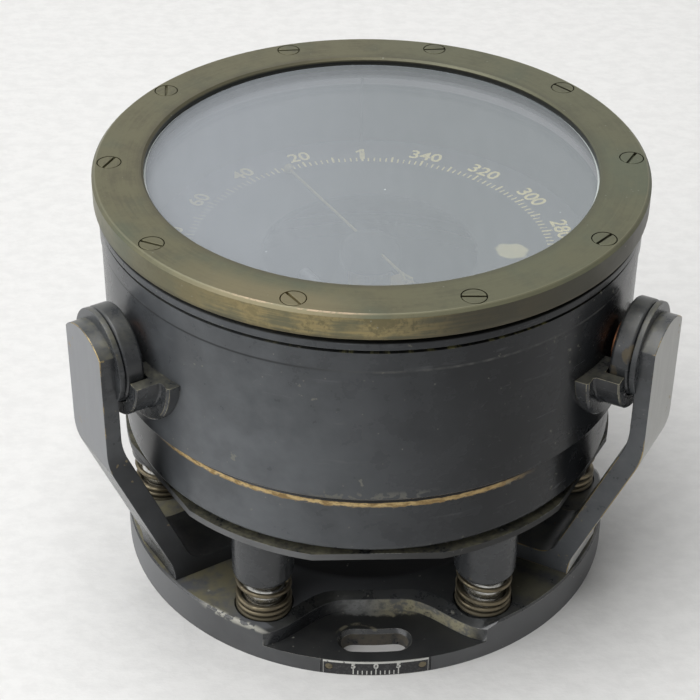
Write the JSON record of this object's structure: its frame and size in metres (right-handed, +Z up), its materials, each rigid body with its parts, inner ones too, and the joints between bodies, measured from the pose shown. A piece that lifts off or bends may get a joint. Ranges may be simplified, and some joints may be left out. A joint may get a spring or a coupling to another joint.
{
  "type": "aircraft compass",
  "caption": "Liquid-filled aircraft compass bowl with a screwed brass bezel, carried on coil springs above a slotted base between bent arms, with a pivoted needle over a fixed dial.",
  "frame": {"origin": "centre of the base's flat underside", "axes": "+Z up through the pivot; the front, with the azimuth scale and one bolt slot, is -Y; +X is to the right seen from the front"},
  "size_m": [0.1622, 0.1628, 0.1218],
  "materials": {
    "black_paint": "satin, worn",
    "scale_enamel": "satin",
    "screw_steel": "dulled",
    "copper_stud": "satin",
    "bright_steel": "polished",
    "spring_steel": "dulled",
    "magnet_steel": "satin",
    "bezel_brass": "patinated",
    "inner_brass": "satin",
    "gasket_rubber": "matte",
    "clear_glass": "clear",
    "lining_paint": "matte",
    "dial_black": "matte",
    "jewel": "polished",
    "luminous_paint": "matte"
  },
  "bodies": {
    "base": {"base_casting": "black_paint", "scale_plate": "scale_enamel", "scale_plate_screws": "screw_steel", "arm_left": "black_paint", "arm_right": "black_paint", "arm_rear": "black_paint", "arm_screws": "screw_steel", "disc_left": "black_paint", "disc_right": "black_paint", "disc_rear": "black_paint", "disc_studs": "copper_stud", "spring_guides": "bright_steel", "spring_1": "spring_steel", "spring_2": "spring_steel", "spring_3": "spring_steel", "spring_4": "spring_steel", "spring_5": "spring_steel", "spring_6": "spring_steel"},
    "bowl": {"bowl_case": "black_paint", "lower_bowl": "black_paint", "joint_gasket": "gasket_rubber", "suspension_plate": "black_paint", "plate_screws": "screw_steel", "spring_cup_1": "black_paint", "spring_cup_2": "black_paint", "spring_cup_3": "black_paint", "spring_cup_4": "black_paint", "spring_cup_5": "black_paint", "spring_cup_6": "black_paint", "cradle_left": "black_paint", "cradle_right": "black_paint", "cradle_rear": "black_paint", "bezel_ring": "bezel_brass", "bezel_screws": "bezel_brass", "window_glass": "clear_glass", "glass_gasket": "gasket_rubber", "chamber_lining": "lining_paint", "dial_ring": "dial_black", "lubber_line": "dial_black", "expansion_diaphragm": "inner_brass", "diaphragm_clamp": "inner_brass", "filler_plug": "inner_brass", "filler_washer": "gasket_rubber", "pivot_post": "inner_brass", "pivot_tip": "bright_steel"},
    "needle": {"float_hub": "dial_black", "jewel_cup": "jewel", "magnet_carrier": "inner_brass", "magnets": "magnet_steel", "pointer": "luminous_paint", "pointer_bead": "luminous_paint"}
  },
  "joints": [
    {"name": "bowl_suspension", "type": "slide", "parent": "base", "child": "bowl", "axis": [0, 0, 1], "range_m": [-0.004, 0], "stiffness_N_per_m": 12000, "springref_m": 0.006, "deforming": ["spring_1", "spring_2", "spring_3", "spring_4", "spring_5", "spring_6"]},
    {"name": "needle_turn", "type": "hinge", "parent": "bowl", "child": "needle", "pos_m": [0, 0, 0.0952], "axis": [0, 0, 1], "continuous": true}
  ]
}
